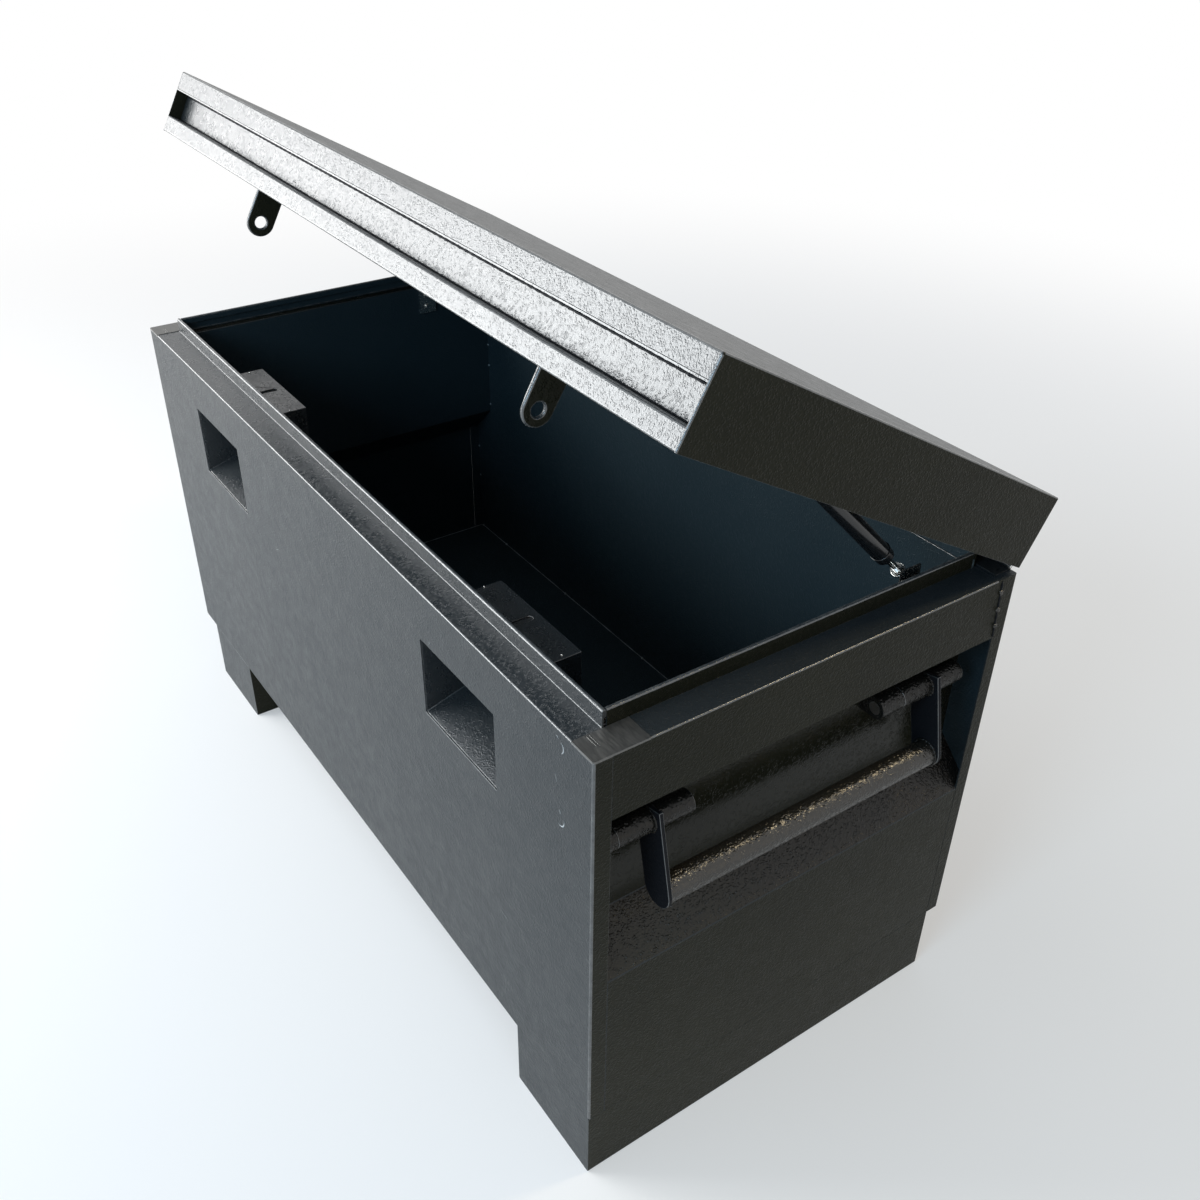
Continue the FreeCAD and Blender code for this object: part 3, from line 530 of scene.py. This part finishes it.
def sweepBead(points, radius, closed, sides=8, ripple=0.0, ripples=0.0):
    # a round bead: point = path + r (cos a * side + sin a * up), with r = radius (1 + ripple sin(waves))
    path = np.asarray(points, float)
    if closed:
        tangent = np.roll(path, -1, axis=0) - np.roll(path, 1, axis=0)
    else:
        tangent = np.gradient(path, axis=0)
    tangent /= np.linalg.norm(tangent, axis=1)[:, None]
    helper = np.where(np.abs(tangent[:, 2:3]) < beadShape["steep"], (0.0, 0.0, 1.0), (1.0, 0.0, 0.0))
    side = np.cross(tangent, helper)
    side /= np.linalg.norm(side, axis=1)[:, None]
    up = np.cross(side, tangent)
    along = np.linspace(0, 2 * np.pi * ripples, len(path), endpoint=not closed)
    size = radius * (1 + ripple * np.sin(along))
    if not closed:
        reach = np.linspace(0, 1, len(path))
        steps = np.minimum(reach, 1 - reach) * len(path)
        size = size * np.clip(steps * beadShape["endGrowth"] + beadShape["endSize"], 0, 1)
    angle = np.linspace(0, 2 * np.pi, sides, endpoint=False)
    ring = np.cos(angle)[None, :, None] * side[:, None, :] + np.sin(angle)[None, :, None] * up[:, None, :]
    vertices = path[:, None, :] + size[:, None, None] * ring
    return vertices.reshape(-1, 3), closed, len(path), sides


def beadMesh(name, beads):
    # beads as sweepBead and dot give them: points, closed or not, rows and columns
    mesh = bpy.data.meshes.new(name)
    vertices, faces = [], []
    start = 0
    for points, closed, rows, sides in beads:
        vertices.append(points)
        faces += gridFaces(rows, sides, start, closed)
        if not closed:
            faces.append([start + k for k in range(sides)])
            faces.append([start + (rows - 1) * sides + k for k in reversed(range(sides))])
        start += rows * sides
    mesh.from_pydata(np.concatenate(vertices).tolist(), [], faces)
    mesh.update()
    shape = bmesh.new()
    shape.from_mesh(mesh)
    bmesh.ops.recalc_face_normals(shape, faces=shape.faces)
    shape.to_mesh(mesh)
    shape.free()
    return mesh


def straight(first, second, steps):
    # points from first to second, evenly spaced
    share = np.linspace(0, 1, steps)[:, None]
    return np.asarray(first) * (1 - share) + np.asarray(second) * share


def runsRound(corners, counts):
    # straight runs from each corner to the next, and from the last back to the first
    return [straight(corner, corners[(k + 1) % len(corners)], counts[k]) for k, corner in enumerate(corners)]


def ringAround(centre, radius, steps):
    # a circle about an axis along y: centre + radius (cos a, 0, sin a)
    angle = np.linspace(0, 2 * np.pi, steps, endpoint=False)
    x, y, z = centre
    return np.stack([x + radius * np.cos(angle), np.full(steps, y), z + radius * np.sin(angle)], axis=1)


def ringAcross(centre, direction, radius, steps):
    # a circle square to a direction: centre + radius (cos a * side + sin a * up)
    direction = np.asarray(direction) / np.linalg.norm(direction)
    side = np.cross(direction, (1.0, 0.0, 0.0))
    side /= np.linalg.norm(side)
    up = np.cross(direction, side)
    angle = np.linspace(0, 2 * np.pi, steps, endpoint=False)[:, None]
    return np.asarray(centre) + radius * (np.cos(angle) * side + np.sin(angle) * up)


def dot(place, size):
    # a weld dot, as a ball of rings: radius size cos b at height size sin b
    rings, points = beadShape["dotGrid"]
    tilt = np.linspace(-beadShape["dotReach"], beadShape["dotReach"], rings)
    angle = np.linspace(0, 2 * np.pi, points, endpoint=False)
    x = size * np.cos(tilt)[:, None] * np.cos(angle)[None, :] + place[0]
    y = size * np.cos(tilt)[:, None] * np.sin(angle)[None, :] + place[1]
    z = size * np.sin(tilt)[:, None] * np.ones((1, points)) + place[2]
    return np.stack([x, y, z], axis=-1).reshape(-1, 3), False, rings, points


# Weld bead round the foot of the rim, where it stands on the ledge
rimBead = {
    "x": 0.571,
    "front": -0.2695,
    "rear": 0.2305,
    "height": 0.6362,
    "radius": 0.0009,
    "steps": 260,          # along the front and the rear, and half as many along the ends
    "ripple": 0.25,
    "rippleSteps": 5,      # from one ripple to the next
}


def makeRimBead(look):
    x, front, rear, z = look["x"], look["front"], look["rear"], look["height"]
    corners = [(-x, front, z), (x, front, z), (x, rear, z), (-x, rear, z)]
    runs = runsRound(corners, (look["steps"], look["steps"] // 2) * 2)
    beads = [sweepBead(run, look["radius"], False, ripple=look["ripple"],
                       ripples=len(run) / look["rippleSteps"]) for run in runs]
    link("rimBead", beadMesh("rimBead", beads), "rubbed", "box")


# Seam between the floor and the walls, with stitch welds, and stitches up the rear corners
innerSeam = {
    "x": 0.6076, "front": -0.3041, "rear": 0.2611, "height": 0.1046,
    "line": 0.0007,
    "steps": 90,
    "sides": 6,
    "ripple": 0.3,
    "ripples": 20,
    "stitchesX": (-0.603, -0.5135, -0.3025, -0.062, 0.155, 0.375, 0.590),
    "stitch": 0.0022,
    "stitchOut": (-0.0005, 0.0006),                       # y and z from the seam
    "cornerStitches": ((0.556, 0.504), (0.556, 0.4646), (0.556, 0.388), (0.6062, 0.281), (0.6062, 0.218)),
    "cornerSize": 0.8,                                    # share of a stitch
    "cornerOut": 0.0002,                                  # y from the seam
    "boxStitches": ((0.272, -0.223), (0.4275, -0.221)),   # on the lock boxes, x and y
    "boxTop": 0.608,
    "boxStitch": 0.0016,
}


def makeInnerSeam(look):
    x, front, rear, z = look["x"], look["front"], look["rear"], look["height"]
    corners = [(-x, rear, z), (x, rear, z), (x, front, z), (-x, front, z)]
    beads = [sweepBead(run, look["line"], False, look["sides"], look["ripple"], look["ripples"])
             for run in runsRound(corners, [look["steps"]] * 4)]
    outY, outZ = look["stitchOut"]
    beads += [dot((place, rear + outY, z + outZ), look["stitch"]) for place in look["stitchesX"]]
    beads += [dot((side * place, rear + look["cornerOut"], height), look["stitch"] * look["cornerSize"])
              for place, height in look["cornerStitches"] for side in (1, -1)]
    link("innerSeam", beadMesh("innerSeam", beads), "scuffed", "box")
    tops = [dot((side * place, y, look["boxTop"]), look["boxStitch"])
            for place, y in look["boxStitches"] for side in (1, -1)]
    link("lockBoxStitches", beadMesh("lockBoxStitches", tops), "zincPlate", "box")


# Stitched gap between each top rail and the rear post, its gap drawn as a dark line of painted shade
postSeam = {
    "x": 0.6101,
    "low": (0.2441, 0.5565),     # y and z at the lower end
    "high": (0.2392, 0.6345),
    "gap": 0.0012,
    "gapSteps": 40,
    "gapRipple": (0.3, 9),       # share of the radius, and how many
    "welds": (0.22, 0.5, 0.8),   # shares of its length
    "weld": 0.0026,
    "weldSides": 10,
    "weldHalf": 4,               # hundredths of the length to either side of a weld's middle
    "weldRipple": (0.2, 3),
}


def makePostSeam(look):
    for name, side in bothEnds:
        x = side * look["x"]
        low, high = (x, *look["low"]), (x, *look["high"])
        ripple, ripples = look["gapRipple"]
        gap = [sweepBead(straight(low, high, look["gapSteps"]), look["gap"], False,
                         ripple=ripple, ripples=ripples)]
        link(f"postGap{name}", beadMesh(f"postGap{name}", gap), "deep", "box")
        ripple, ripples = look["weldRipple"]
        hundredths = straight(low, high, 101)
        welds = []
        for share in look["welds"]:
            middle = int(share * 100)
            line = hundredths[middle - look["weldHalf"]:middle + look["weldHalf"] + 1]
            welds.append(sweepBead(line, look["weld"], False, look["weldSides"], ripple, ripples))
        link(f"postWelds{name}", beadMesh(f"postWelds{name}", welds), "hammered", "box")


# Weld rings of the drop handles: the bar on its arms, the sleeves through them, and the feet of the lugs
handleWelds = {
    "bar": (0.6042, 0.4143, 0.0164),        # x, z and radius
    "barEnds": (-0.2162, 0.1732),
    "barSteps": (72, 24),                   # points and ripples of a ring
    "sleeve": (0.5840, 0.5025, 0.0139),
    "armFaces": (-0.2212, -0.2162, 0.1732, 0.1782),
    "sleeveSteps": (60, 20),
    "sleeveSize": 0.8,                      # share of the bar's bead
    "bead": 0.0019,
    "ripple": 0.22,
    "lugs": ((-0.3006, -0.2666), (0.0938, 0.1278)),
    "lugFoot": 0.5606,
    "lugHeights": (0.4895, 0.5155),
    "lugBead": 0.0021,
    "lugSteps": 30,
    "lugRipple": (0.25, 8),                 # share of the radius, and how many
}


def makeHandleWelds(look):
    kinds = (
        (look["bar"], look["barEnds"], look["barSteps"], look["bead"]),
        (look["sleeve"], look["armFaces"], look["sleeveSteps"], look["bead"] * look["sleeveSize"]),
    )
    ripple, ripples = look["lugRipple"]
    for name, side in bothEnds:
        rings = [sweepBead(ringAround((side * x, y, z), radius, steps), bead, True,
                           ripple=look["ripple"], ripples=waves)
                 for (x, z, radius), places, (steps, waves), bead in kinds for y in places]
        body = "handle_right" if side > 0 else "handle_left"
        link(f"handleWelds{name}", beadMesh(f"handleWelds{name}", rings), "sleeve", body)
        x = side * look["lugFoot"]
        feet = [sweepBead(straight((x, first, height), (x, last, height), look["lugSteps"]),
                          look["lugBead"], False, ripple=ripple, ripples=ripples)
                for first, last in look["lugs"] for height in look["lugHeights"]]
        link(f"lugWelds{name}", beadMesh(f"lugWelds{name}", feet), "sleeve", "box")


# Ridges on the ground corner plates, and the light weld line over the left runner
plateMarks = {
    "x": (0.5762, 0.5937),
    "y": (-0.2914, -0.2884),
    "height": 0.6367,
    "radius": 0.0004,
    "sides": 6,
    "steps": 12,
    "skidLine": ((-0.552, -0.3062, 0.1022), (-0.412, -0.3062, 0.1022)),
    "skidSteps": 60,
    "skidRipple": (0.3, 14),     # share of the radius, and how many
}


def makePlateMarks(look):
    inner, outer = look["x"]
    z = look["height"]
    for name, side in bothEnds:
        ridges = [sweepBead(straight((side * inner, y, z), (side * outer, y, z), look["steps"]),
                            look["radius"], False, look["sides"]) for y in look["y"]]
        title = f"plateRidges{name}"
        link(title, beadMesh(title, ridges), "groundSteel", "box")
    line = [sweepBead(straight(*look["skidLine"], look["skidSteps"]), look["radius"], False, look["sides"],
                      *look["skidRipple"])]
    link("skidWeldLine", beadMesh("skidWeldLine", line), "rubbed", "box")


# Lines of the lid's finger channel: dark lines of painted shade at its top and its foot, and the hem along
# the lower lip in the edges' lighter coat
channelLines = {
    "hinge": (0.263503, 0.6392),      # y and z of the hinge's axis
    "angle": 29.3,                    # of the lid at rest, in degrees
    "depth": 0.570,                   # from the lid's face to the hinge
    "halfLength": 0.6075,
    "steps": 400,
    "ripple": (0.12, 90),             # share of the radius, and how many
    "gap": (0.0177, 0.0604, 0.0015),  # depth behind the lid's face, height over the hinge, radius
    "foot": (0.0176, 0.0266, 0.0009),
    "hem": (0.0062, 0.0255, 0.0006),
}


def lidPoint(look, x, depth, height):
    # the lid's own frame turned about the hinge: y and z = hinge + (depth - lid depth) * back + height * up
    turn = math.radians(look["angle"])
    behind = depth - look["depth"]
    y = look["hinge"][0] + behind * math.cos(turn) + height * math.sin(turn)
    z = look["hinge"][1] - behind * math.sin(turn) + height * math.cos(turn)
    return (x, y, z)


def makeChannelLines(look):
    half = look["halfLength"]
    ripple, ripples = look["ripple"]
    for name, finish in (("gap", "deep"), ("foot", "deep"), ("hem", "rubbed")):
        depth, height, radius = look[name]
        first, last = lidPoint(look, -half, depth, height), lidPoint(look, half, depth, height)
        line = straight(first, last, look["steps"])
        bead = [sweepBead(line, radius, False, ripple=ripple, ripples=ripples)]
        title = f"channel{name.capitalize()}"
        link(title, beadMesh(title, bead), finish, "lid")


# Fittings of the gas struts at the end that shows: the tube's crimp ring and the clip of the ball socket
strutRings = {
    "rodEnd": (0.540, 0.1441, 0.6462),       # x, y, z where the rod meets the socket
    "tubeEnd": (0.540, 0.1112, 0.6800),
    "crimp": (0.0113, 0.0007),               # radius of the ring and of its bead
    "clip": (0.540, 0.1460, 0.6442),
    "clipRing": (0.0078, 0.0007),            # radius of the ring and of its wire
    "steps": 40,
}


def makeStrutRings(look):
    axis = np.subtract(look["tubeEnd"], look["rodEnd"])
    for name, side in bothEnds:
        flip = np.array([side, 1, 1])
        for title, centre, (radius, wire), finish, part, slot in (
            ("strutCrimp", look["tubeEnd"], look["crimp"], "strutBlack", "strut_tube", "strut_black"),
            ("socketClip", look["clip"], look["clipRing"], "zincPlate", "strut_rod", "zinc_plate"),
        ):
            ring = [sweepBead(ringAcross(np.multiply(centre, flip), axis, radius, look["steps"]), wire, True)]
            link(f"{title}{name}", beadMesh(f"{title}{name}", ring), finish, f"{part}_{name.lower()}")


# Scuffs and light scratches on the front, as thin curved ribbons on the coat
scuffs = {
    "y": -0.30654,
    "thickness": 0.00004,
    "steps": 24,
    "fadeFrom": 0.05,      # radians of the half wave that a ribbon's width leaves out at each end
    # x, z, radius of the arc, first and last angle in degrees, width
    "marks": (
        (0.5535, 0.6165, 0.0080, -60, 60, 0.0015), (0.5500, 0.6235, 0.0030, 20, 110, 0.0008),
        (0.5550, 0.5236, 0.0070, -120, 30, 0.0017), (0.5520, 0.5330, 0.0032, -40, 80, 0.0009),
        (0.2920, 0.5790, 0.0040, -60, 40, 0.0006), (-0.4862, 0.1956, 0.0018, 0, 200, 0.0006),
        (0.5000, 0.5600, 0.0500, 8, 24, 0.0004), (0.4300, 0.2500, 0.0300, 60, 95, 0.0004),
        (-0.1500, 0.4300, 0.0350, 100, 125, 0.0004),
    ),
}


def makeScuffs(look):
    # each ribbon: (x + (R + w s) cos a, y, z + (R + w s) sin a), its width w fading at both ends
    vertices, faces, start, steps = [], [], 0, look["steps"]
    for x, z, radius, first, last, width in look["marks"]:
        angle = np.radians(np.linspace(first, last, steps))
        fade = np.sin(np.linspace(look["fadeFrom"], np.pi - look["fadeFrom"], steps)) * width / 2
        for sign in (-1, 1):
            reach = radius + sign * fade
            side = [x + reach * np.cos(angle), np.full(steps, look["y"]), z + reach * np.sin(angle)]
            vertices.append(np.stack(side, axis=1))
        faces += [(start + k, start + k + 1, start + steps + k + 1, start + steps + k)
                  for k in range(steps - 1)]
        start += 2 * steps
    mesh = bpy.data.meshes.new("scuffs")
    mesh.from_pydata(np.concatenate(vertices).tolist(), [], faces)
    mesh.update()
    piece = link("scuffs", mesh, "scuffed", "box")
    wall = piece.modifiers.new("wall", "SOLIDIFY")
    wall.thickness = look["thickness"]


makeRimBead(rimBead)
makeInnerSeam(innerSeam)
makePostSeam(postSeam)
makeHandleWelds(handleWelds)
makePlateMarks(plateMarks)
makeChannelLines(channelLines)
makeStrutRings(strutRings)
makeScuffs(scuffs)
print("welds, seams and fittings made")
